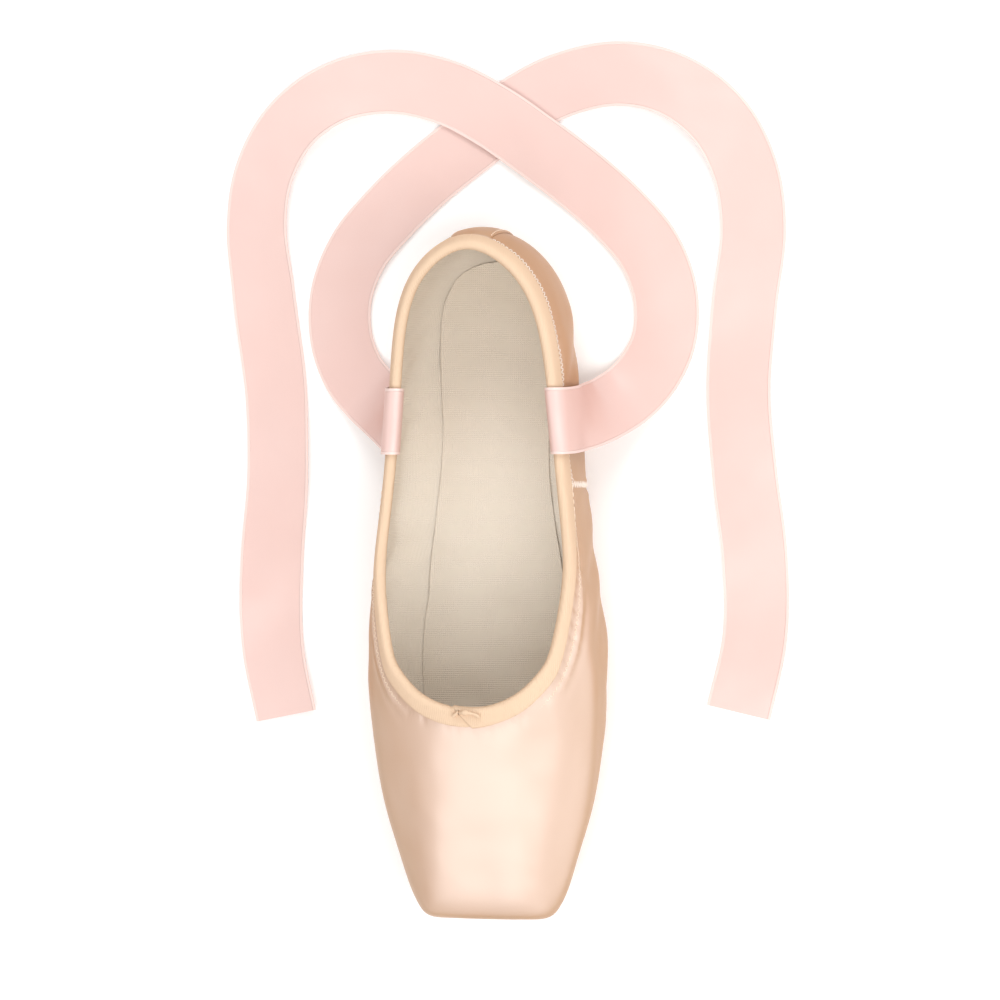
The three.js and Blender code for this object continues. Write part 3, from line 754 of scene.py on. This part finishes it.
# %% [markdown]
# ## Binding, insole, heel strip and knot
# The binding is a cotton tape folded over the collar, with the drawstring running inside it. Its end laps over
# its start at the throat, at a slant. The insole is a thin lined board. The heel strip is pressed on to the
# upper, and the knot is moved back to the inner edge of the throat and sunk into the tape.

# %% Binding
THROAT_X = 40 * MM
THROAT_HALF = 14 * MM
LAP_X, LAP_Y = 47 * MM, -1.5 * MM
LAP_SLANT = 0.9
LAP_HEIGHT = 0.5 * MM
LAP_STEP = 0.3 * MM
LAP_FADE = 11 * MM
GROOVE_DEPTH = 0.18 * MM
GROOVE_WIDTH = 0.5 * MM
GROOVE_AT = -0.3 * MM
binding = copy_of("binding", "collar_binding")
made_finer(binding, 2)
points = points_of(binding)
cut_finer(binding, (points[:, 0] > THROAT_X) & (abs(points[:, 1]) < THROAT_HALF), 2)
points = points_of(binding)
normals = normals_of(binding)
in_front = points[:, 0] > THROAT_X
past = points[:, 1] - LAP_Y - LAP_SLANT * (points[:, 0] - LAP_X)
lap = np.clip(past / LAP_STEP, 0, 1) * np.clip(1 - past / LAP_FADE, 0, 1)
lap *= in_front & ((normals * outwards(points)).sum(1) > -0.3)
groove = hump(past - GROOVE_AT, GROOVE_WIDTH) * in_front
set_points(binding, points + normals * (LAP_HEIGHT * lap - GROOVE_DEPTH * groove)[:, None])
lay_cloth(binding, round_the_last(points_of(binding)))
binding.data.materials.append(tape)
print("binding", len(binding.data.polygons), "faces")

# %% Insole
insole = copy_of("insole", "insole_sock")
only(insole)
bpy.ops.object.shade_smooth_by_angle(angle=math.radians(40))
lay_cloth(insole, points_of(insole)[:, 1])
insole.data.materials.append(lining)
print("insole", len(insole.data.polygons), "faces")

# %% Heel strip
STRIP_LIFT = 0.05 * MM
STRIP_DEPTH = 4 * MM
heel_strip = copy_of("heel_strip", "satin_heel_strip")
made_finer(heel_strip, 2)
upper_skin = surface_of(upper)
strip_skin = surface_of(heel_strip)
points = points_of(heel_strip)
for k, point in enumerate(points):
    spot, _, _, high_up = upper_skin.find_nearest(Vector(point))
    away = (Vector(point) - spot).normalized()
    hit = strip_skin.ray_cast(spot, away, STRIP_DEPTH)
    gap = min(hit[3], high_up) if hit[0] else high_up
    points[k] -= np.array(away) * max(gap - STRIP_LIFT, 0)
set_points(heel_strip, points)
lay_cloth(heel_strip, points_of(heel_strip)[:, 1])
heel_strip.data.materials.append(satin)

# %% Knot
KNOT_FLATTER = 0.75
KNOT_DROP = 1.1 * MM
KNOT_BACK = np.array((-2.9, 0, 1.45)) * MM
KNOT_HEART = 0.8 * MM
KNOT_SLOPE = 1.4 * MM


def eased(t):
    """A share from nought to one that starts and ends softly."""
    return t * t * (3 - 2 * t)


knot = copy_of("drawstring_knot", "drawstring_knot_ends")
made_finer(knot, 1)
binding_skin = surface_of(binding)
points = points_of(knot) + KNOT_BACK
for k, point in enumerate(points):
    spot, normal, _, _ = binding_skin.find_nearest(Vector(point))
    aside = min(max((abs(point[1]) - KNOT_HEART) / KNOT_SLOPE, 0), 1)
    drop = KNOT_DROP * (0.3 + 0.7 * eased(aside))
    points[k] = np.array(spot) + (point - np.array(spot)) * KNOT_FLATTER - np.array(normal) * drop
set_points(knot, points)
lay_cloth(knot, points_of(knot)[:, 1])
knot.data.materials.append(tape)

# %% [markdown]
# ## Outsole
# The outsole is tan leather with a burnished diamond lattice under the ball, to grip the floor, and a row of
# stitches round its edge. The lattice is two families of lines that cross at a slant, so it is two saw-tooth
# waves in nodes, bent a little by noise because it is scored by hand.

# %% Leather
LATTICE_WIDTH = 5.2 * MM
LATTICE_LENGTH = 11.5 * MM
LATTICE_START = (118 + HEEL_X) * MM
LATTICE_FADE = 4 * MM
LATTICE_INSET, LATTICE_FULL = 5.5 * MM, 6.5 * MM
LINE_CORE, LINE_EDGE = 0.02, 0.085
WANDER = (0.0022, 0.0022, 0)
RIM_WIDTH = 1.6 * MM
SCORED = (0.36, 0.15, 0.035, 1)
BURNISHED = (0.55, 0.27, 0.16, 1)


def vectors(tree, operation, *values):
    return add(tree, "ShaderNodeVectorMath", dict(enumerate(values)), operation=operation).outputs[0]


leather, tree, shader = new_material("tan leather", {})
place = add(tree, "ShaderNodeTexCoord").outputs["Object"]
from_edge = add(tree, "ShaderNodeAttribute", attribute_name="from_edge").outputs["Fac"]
offset = vectors(tree, "SUBTRACT", noise(tree, place, 45).outputs["Color"], (0.5, 0.5, 0.5))
bent = vectors(tree, "ADD", place, vectors(tree, "MULTIPLY", offset, WANDER))
split = add(tree, "ShaderNodeSeparateXYZ", {0: bent}).outputs
straight = add(tree, "ShaderNodeSeparateXYZ", {0: place}).outputs
lines = []
for slant in (1, -1):
    turns = maths(tree, "ADD", maths(tree, "MULTIPLY", split["Y"], 1 / LATTICE_WIDTH),
                  maths(tree, "MULTIPLY", split["X"], slant / LATTICE_LENGTH))
    apart = maths(tree, "ABSOLUTE", maths(tree, "SUBTRACT", maths(tree, "FRACT", turns), 0.5))
    lines.append(fade(tree, apart, LINE_CORE, LINE_EDGE, 1, 0))
lattice = maths(tree, "MAXIMUM", *lines)
for limit in (fade(tree, straight["X"], LATTICE_START, LATTICE_START + LATTICE_FADE),
              fade(tree, from_edge, LATTICE_INSET, LATTICE_FULL)):
    lattice = maths(tree, "MULTIPLY", lattice, limit)
stains = noise(tree, place, 60, 5, Roughness=0.65).outputs["Fac"]
pores = noise(tree, place, 1800, 3).outputs["Fac"]
worn = shades(tree, stains, (0.52, 0.27, 0.10), (0.74, 0.45, 0.20), 0.3, 0.62)
scored = blend(tree, maths(tree, "MULTIPLY", lattice, 0.75), worn, SCORED)
edged = blend(tree, fade(tree, from_edge, 0, RIM_WIDTH, 0.55, 0), scored, BURNISHED)
tree.links.new(edged, shader.inputs["Base Color"])
gloss = maths(tree, "SUBTRACT", 0.68, maths(tree, "MULTIPLY", lattice, 0.2))
tree.links.new(gloss, shader.inputs["Roughness"])
height = maths(tree, "SUBTRACT", maths(tree, "MULTIPLY", pores, 0.12), lattice)
raised = add(tree, "ShaderNodeBump", {"Strength": 0.7, "Distance": 0.3 * MM, "Height": height})
tree.links.new(raised.outputs[0], shader.inputs["Normal"])
print("leather with", len(tree.nodes), "nodes")

# %% Outsole
# The long edges that cross the sole are cut up, so that it has points to hold the distance from its edge.
CROSS_LENGTH = 3 * MM
CROSS_SLANT = 2 * MM
CROSS_CUTS = 15
outsole = copy_of("outsole", "leather_outsole")
only(outsole)
bpy.ops.object.mode_set(mode="EDIT")
bpy.ops.mesh.select_all(action="DESELECT")
bpy.ops.mesh.select_mode(type="EDGE")
bpy.ops.object.mode_set(mode="OBJECT")
points = points_of(outsole)
for edge in outsole.data.edges:
    a, b = (points[i] for i in edge.vertices)
    crosses = abs(a[1] - b[1]) > CROSS_LENGTH and a[1] * b[1] < 0 and abs(a[0] - b[0]) < CROSS_SLANT
    edge.select = bool(crosses)
bpy.ops.object.mode_set(mode="EDIT")
bpy.ops.mesh.subdivide(number_cuts=CROSS_CUTS, quadcorner="INNERVERT")
bpy.ops.object.mode_set(mode="OBJECT")
bpy.ops.object.shade_smooth_by_angle(angle=math.radians(35))
points = points_of(outsole)
apart = np.linalg.norm(points[:, None, :2] - sole_edge[None, :, :2], axis=2).min(1)
outsole.data.attributes.new("from_edge", "FLOAT", "POINT").data.foreach_set("value", apart)
outsole.data.materials.append(leather)
print("outsole", len(outsole.data.polygons), "faces")

# %% [markdown]
# ## Ribbons
# A ribbon is a flat band of satin 22 mm wide with a firm woven edge. It is sewn to the lining behind the side
# seam, falls over the collar and lies on the floor round the heel, where one ribbon crosses the other. It is
# swept along the same route as its solid, square to the collar on the shoe and square to its route below.

# %% Routes
OVER_COLLAR = [
    (-50.5, 28.9, 26.5, -4), (-50.5, 27.9, 31.5, -4), (-50.5, 26.4, 36, -4.5), (-50.5, 25.2, 40, -4.5),
    (-50.5, 25, 43, -4.5), (-50.5, 26.6, 44.9, -4.5), (-50.5, 28.9, 44.7, -4.5), (-50.6, 30.5, 42.7, -4),
    (-50.8, 31.7, 38.6, -3), (-51.2, 32.7, 33, -2), (-52, 33.7, 25, 0), (-53.5, 35.6, 16, 0), (-56, 39.2, 8, 0),
    (-60.5, 45, 2.8, 0), (-68, 51.5, 0.7, 0),
]
LEFT_ROUTE = OVER_COLLAR + [
    (-79, 56.5, 0.4, 0), (-94, 57, 0.7, -1.5), (-109, 51.5, 0.9, -2.5), (-122, 40.5, 0.6, -1), (-134, 27, 1, 0),
    (-145, 12.5, 1.7, 0), (-155.5, -2.5, 1.8, 0), (-164, -19, 1.6, 0), (-168, -38, 1.6, -4), (-165, -57, 2.2, -9),
    (-154.5, -73, 2.3, -10), (-138, -83, 1.8, -7), (-119, -86, 1, -3), (-95, -83.5, 0.4, 0), (-65, -79.5, 0.4, 0),
    (-35, -78.5, 0.5, 0.5), (-5, -80.5, 0.5, 0.5), (25, -80.5, 0.4, 0), (50, -75.5, 0.4, 0),
]
RIGHT_ROUTE = OVER_COLLAR + [
    (-80, 56, 0.4, 0), (-95, 56, 0.6, -1), (-110, 50, 0.8, -2), (-123, 39, 0.5, -0.5), (-135, 26, 0.4, 0),
    (-146, 11.5, 0.4, 0), (-157, -4, 0.4, 0), (-165.5, -21, 0.4, 0), (-169, -41, 1.2, -4), (-164.5, -60, 2.3, -10),
    (-152.5, -75.5, 2.4, -10.5), (-135, -84.5, 1.7, -6.5), (-115, -87, 0.8, -2), (-90, -84, 0.4, 0),
    (-62, -82, 0.5, 0.5), (-34, -84, 0.6, 1), (-6, -87.5, 0.5, 0.5), (22, -87.5, 0.4, 0), (47, -82, 0.4, 0),
]

# %% Ribbons
RIBBON_WIDTH = 22 * MM
RIBBON_THICKNESS = 0.4 * MM
RIBBON_STEPS = 420
RIBBON_COLUMNS = 13
RIPPLE = math.radians(4.5)
RIPPLE_LENGTH = 0.085
RIPPLE_START, RIPPLE_RAMP = 0.27, 0.06
RIPPLE_SOFT = 0.03
RIPPLE_LIFT = 0.2 * MM
TURN_FOOT, TURN_HEIGHT = 0.004, 0.026
ALONG_COLLAR = np.array((0.9964, 0.0847, 0))


def new_piece(name, vertices, faces):
    """A piece made from points and faces."""
    mesh = bpy.data.meshes.new(name)
    mesh.from_pydata(vertices.tolist(), [], faces)
    piece = bpy.data.objects.new(name, mesh)
    bpy.context.scene.collection.objects.link(piece)
    only(piece)
    return piece


def ribbon(name, node, side, route):
    """A ribbon swept along a route: place and bank in degrees for each of its rows."""
    rows = np.array(route, float)
    line = through(rows[:, :3] * MM)
    bank = np.interp(np.arange(len(line)) / SPLINE_STEPS, np.arange(len(rows)), rows[:, 3])
    steps = lengths_along(line)
    wanted = np.linspace(0, steps[-1], RIBBON_STEPS)
    line = points_at(wanted, steps, line)
    bank = np.radians(np.interp(wanted, steps, bank))
    heading = unit(np.gradient(line, axis=0))
    square = np.column_stack([heading[:, 1], -heading[:, 0], np.zeros(len(line))])
    square /= np.maximum(np.linalg.norm(square, axis=1)[:, None], 1e-9)
    on_floor = (1 - eased(np.clip((line[:, 2] - TURN_FOOT) / TURN_HEIGHT, 0, 1)))[:, None]
    across = unit((1 - on_floor) * ALONG_COLLAR + on_floor * square)
    tail = np.clip((wanted - RIPPLE_START) / RIPPLE_RAMP, 0, 1)
    ripple = RIPPLE * tail * np.sin(2 * math.pi * wanted / RIPPLE_LENGTH + side)
    rise = np.sqrt(np.sin(ripple) ** 2 + RIPPLE_SOFT ** 2) - RIPPLE_SOFT
    line[:, 2] += rise * RIBBON_WIDTH / 2 + RIPPLE_LIFT * tail
    bank = bank + ripple
    across = across * np.cos(bank)[:, None] + np.sin(bank)[:, None] * (0, 0, 1)
    columns = np.linspace(-1, 1, RIBBON_COLUMNS) * RIBBON_WIDTH / 2
    grid = line[:, None] + across[:, None] * columns[None, :, None]
    grid[..., 1] *= side
    faces = []
    for i in range(RIBBON_STEPS - 1):
        for j in range(RIBBON_COLUMNS - 1):
            a = i * RIBBON_COLUMNS + j
            b = a + RIBBON_COLUMNS
            faces.append((a, a + 1, b + 1, b) if side > 0 else (a, b, b + 1, a + 1))
    piece = new_piece(name, grid.reshape(-1, 3), faces)
    set_uv(piece, np.column_stack([np.repeat(wanted, RIBBON_COLUMNS), np.tile(columns, RIBBON_STEPS)]))
    thick = piece.modifiers.new("thickness", "SOLIDIFY")
    thick.thickness = RIBBON_THICKNESS
    thick.offset = 0
    bpy.ops.object.modifier_apply(modifier="thickness")
    bpy.ops.object.shade_smooth_by_angle(angle=math.radians(50))
    piece.data.materials.append(ribbon_satin)
    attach(piece, "root")
    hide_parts(node)


ribbon("satin_ribbon_left", "ribbon_left", 1, LEFT_ROUTE)
ribbon("satin_ribbon_right", "ribbon_right", -1, RIGHT_ROUTE)

# %% [markdown]
# ## Stitches
# Every stitch is the same small thing: a bit of thread that rises out of one hole and goes down the next. One is
# modelled from a sphere, drawn out and pressed flat, and its points are set along each seam as one joined mesh.

# %% One stitch
STITCH_ARCH = 0.9
bpy.ops.mesh.primitive_uv_sphere_add(segments=8, ring_count=7, radius=0.5)
one_stitch = bpy.context.object
bpy.ops.object.mode_set(mode="EDIT")
bpy.ops.mesh.select_all(action="SELECT")
bpy.ops.transform.rotate(value=math.pi / 2, orient_axis="Y", center_override=(0, 0, 0))
bpy.ops.object.mode_set(mode="OBJECT")
stitch_points = points_of(one_stitch)
stitch_points[:, 2] -= STITCH_ARCH * stitch_points[:, 0] ** 2
stitch_faces = [tuple(f.vertices) for f in one_stitch.data.polygons]
bpy.data.objects.remove(one_stitch)
print("one stitch:", len(stitch_faces), "faces")

# %% Thread
FIBRE_SCALE = 2500
FIBRE_DARK, FIBRE_LIGHT = 0.3, 0.7
FIBRE_HEIGHT = 0.2 * MM
fibres, given, result = new_group(
    "fibres",
    {"Vector": "Vector", "Dark": "Color", "Light": "Color"},
    {"Color": "Color", "Height": "Float"},
)
strands = noise(fibres, given["Vector"], FIBRE_SCALE).outputs["Fac"]
fibres.links.new(
    blend(fibres, fade(fibres, strands, FIBRE_DARK, FIBRE_LIGHT), given["Dark"], given["Light"]), result["Color"])
fibres.links.new(strands, result["Height"])


def thread_material(name, light, dark):
    """Spun thread in two shades."""
    material, tree, shader = new_material(name, {"Roughness": 0.65})
    spun = add(tree, "ShaderNodeGroup", {
        "Vector": add(tree, "ShaderNodeTexCoord").outputs["Object"],
        "Dark": (*dark, 1), "Light": (*light, 1)}, node_tree=fibres).outputs
    tree.links.new(spun["Color"], shader.inputs["Base Color"])
    raised = add(tree, "ShaderNodeBump", {"Strength": 0.5, "Distance": FIBRE_HEIGHT, "Height": spun["Height"]})
    tree.links.new(raised.outputs[0], shader.inputs["Normal"])
    return material


white_thread = thread_material("white thread", (0.98, 0.90, 0.82), (0.86, 0.74, 0.64))
peach_thread = thread_material("peach thread", (0.98, 0.84, 0.70), (0.86, 0.66, 0.48))
# The stitch holes are not cut. A near-black thread material on small pieces just past each stitch is painted shade
# for the depth of the hole.
painted_hole_shade = thread_material("painted shade in stitch holes", (0.12, 0.05, 0.02), (0.06, 0.025, 0.01))
print("threads:", [m.name for m in (white_thread, peach_thread, painted_hole_shade)])

# %% Sewing
def sew(name, starts, ends, ups, width, height, material):
    """Sets one stitch between each start and end, standing up along the surface's normal."""
    reach = ends - starts
    ups = unit(ups)
    sides = unit(np.cross(ups, reach))
    x, y, z = stitch_points.T[:, None, :, None]
    placed = ((starts + ends)[:, None] / 2 + x * reach[:, None] + y * sides[:, None] * width
              + z * ups[:, None] * height)
    count = len(stitch_points)
    faces = [tuple(v + k * count for v in f) for k in range(len(placed)) for f in stitch_faces]
    piece = new_piece(name, placed.reshape(-1, 3), faces)
    bpy.ops.object.shade_smooth()
    piece.data.materials.append(material)
    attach(piece, "root")
    print(name, len(placed), "stitches")


def along_loop(points, ups, pitch, share, from_x):
    """Starts, ends and normals of stitches at even steps along a closed row, forward of a place."""
    points, ups = (np.vstack([rows, rows[:1]]) for rows in (points, ups))
    steps = lengths_along(points)
    count = int(steps[-1] / pitch)
    at = np.arange(count) * steps[-1] / count
    starts = points_at(at, steps, points)
    ends = points_at(at + pitch * share, steps, points)
    up = points_at(at + pitch * share / 2, steps, ups)
    kept = starts[:, 0] > from_x
    return starts[kept], ends[kept], up[kept]


# %% Binding stitches
ROW_DOWN = 3.0 * MM
ROW_SMOOTH = 8
ROW_LIFT = 0.1 * MM
ROW_PITCH = 2.4 * MM


def row_below_collar(surface, distance):
    """Points and normals all round the shoe at one distance below the collar."""
    spots = np.array([down_from_collar(surface, index, distance)[-1][0] for index in range(len(collar))])
    window = range(-ROW_SMOOTH, ROW_SMOOTH + 1)
    even = sum(np.roll(spots, k, 0) for k in window) / len(window)
    ways = [surface.find_nearest(Vector(spot)) for spot in even]
    return np.array([way[0] for way in ways]), np.array([way[1] for way in ways])


row, row_up = row_below_collar(binding_skin, ROW_DOWN)
starts, ends, up = along_loop(row + row_up * ROW_LIFT, row_up, ROW_PITCH, 0.72, SEAM_X)
sew("binding_stitches", starts, ends, up, 0.45 * MM, 0.4 * MM, peach_thread)

# %% Zigzags
HIGH_DOWN = 4.6 * MM
NEAR_DOWN = 5.4 * MM
LOW_DOWN = 6.4 * MM
THROAT_BARE = 15 * MM
THROAT_FADE = 9 * MM
THROAT_SINK = 0.3 * MM
SEAM_TOP = 5 * MM
SEAM_END = 5 * MM
SEAM_HALF = 1.4 * MM


def zigzag(upper_edge, lower_edge, ups):
    """Thread that goes to and fro between two edges."""
    corners = np.where((np.arange(len(upper_edge)) % 2 == 0)[:, None], upper_edge, lower_edge)
    return corners[:-1], corners[1:], (ups[:-1] + ups[1:]) / 2


high, _ = row_below_collar(upper_skin, HIGH_DOWN)
near_row, _ = row_below_collar(upper_skin, NEAR_DOWN)
low, low_up = row_below_collar(upper_skin, LOW_DOWN)
behind = np.flatnonzero(collar[:, 0] < SEAM_X)
starts, ends, up = zigzag(high[behind], low[behind], low_up[behind])
sew("binding_zigzag", starts, ends, up, 0.4 * MM, 0.4 * MM, white_thread)
for name, side in SIDES:
    part = np.flatnonzero((collar[:, 0] >= SEAM_X) & (collar[:, 1] * side > THROAT_BARE))
    sinking = np.clip(1 - (abs(collar[part, 1:2]) - THROAT_BARE) / THROAT_FADE, 0, 1)
    sunk = sinking * low_up[part] * THROAT_SINK
    starts, ends, up = zigzag(high[part] - sunk, near_row[part] - sunk, low_up[part])
    sew("throat_zigzag_" + name, starts, ends, up, 0.35 * MM, 0.35 * MM, peach_thread)
    way = down_from_collar(upper_skin, collar_index(SEAM_X, side), SEAM_DROP)
    way = [pair for k, pair in enumerate(way) if k * STEP > SEAM_TOP and pair[0].z > SEAM_END][::2]
    spots = np.array([spot for spot, _ in way])
    ups = np.array([normal for _, normal in way])
    beside = unit(np.cross(np.gradient(spots, axis=0), ups))
    edges = [np.array([upper_skin.find_nearest(Vector(q))[0] for q in spots + beside * half])
             for half in (-SEAM_HALF, SEAM_HALF)]
    starts, ends, up = zigzag(*edges, ups)
    sew("side_seam_" + name, starts, ends, up, 0.6 * MM, 0.5 * MM, white_thread)

# %% Heel strip stitches
STRIP_ROW = 6.7 * MM
STRIP_HEIGHTS = np.arange(9, 49, 0.5) * MM
BEHIND_X = -0.15
strip_skin = surface_of(heel_strip)
for name, side in SIDES:
    hits = [strip_skin.ray_cast(Vector((BEHIND_X, side * STRIP_ROW, z)), Vector((1, 0, 0))) for z in STRIP_HEIGHTS]
    spots = np.array([hit[0] for hit in hits if hit[0]])
    ups = np.array([hit[1] for hit in hits if hit[0]])
    count = len(spots) // 4 * 4
    sew("heel_strip_stitches_" + name, spots[0:count:4], spots[3:count:4], ups[1:count:4], 0.4 * MM, 0.4 * MM,
        peach_thread)

# %% Sole stitches
SOLE_ROWS_IN = [
    # name, distance from the edge in millimetres, where the row starts
    ("sole_stitches", 3.4, -1),
    ("sole_stitches_inner", 5.4, (112 + HEEL_X) * MM),
]
SOLE_PITCH = 5.5 * MM
SOLE_JITTER = 0.12
SOLE_LIFT = np.array((0, 0, 0.1)) * MM
UNDER_Z = -0.01
sole_skin = surface_of(outsole)


def inset_row(inset):
    """A row inside the edge of the sole, on its underside."""
    outward = unit(np.cross(np.roll(sole_edge, -1, 0) - np.roll(sole_edge, 1, 0), (0, 0, 1)))
    flat = (sole_edge - outward * inset)[:, :2]
    heights = [sole_skin.ray_cast(Vector((*spot, UNDER_Z)), Vector((0, 0, 1)))[0].z for spot in flat]
    return np.column_stack([flat, heights])


down = np.tile((0.0, 0.0, -1.0), (len(sole_edge), 1))
for name, inset, from_x in SOLE_ROWS_IN:
    starts, ends, up = along_loop(inset_row(inset * MM), down, SOLE_PITCH, 0.74, from_x)
    jitter = chance.normal(0, SOLE_JITTER, starts.shape) * MM * (1, 1, 0)
    starts, ends = starts + jitter + SOLE_LIFT, ends - jitter + SOLE_LIFT
    sew(name, starts, ends, up, 1.0 * MM, 0.55 * MM, white_thread)
    # Painted shade: a small near-black piece just past each stitch stands for the dark inside of its hole.
    ahead = (ends - starts) * 0.12
    sew(name + "_hole_shade", ends + ahead, ends + ahead * 2.4, up, 0.9 * MM, 0.3 * MM, painted_hole_shade)
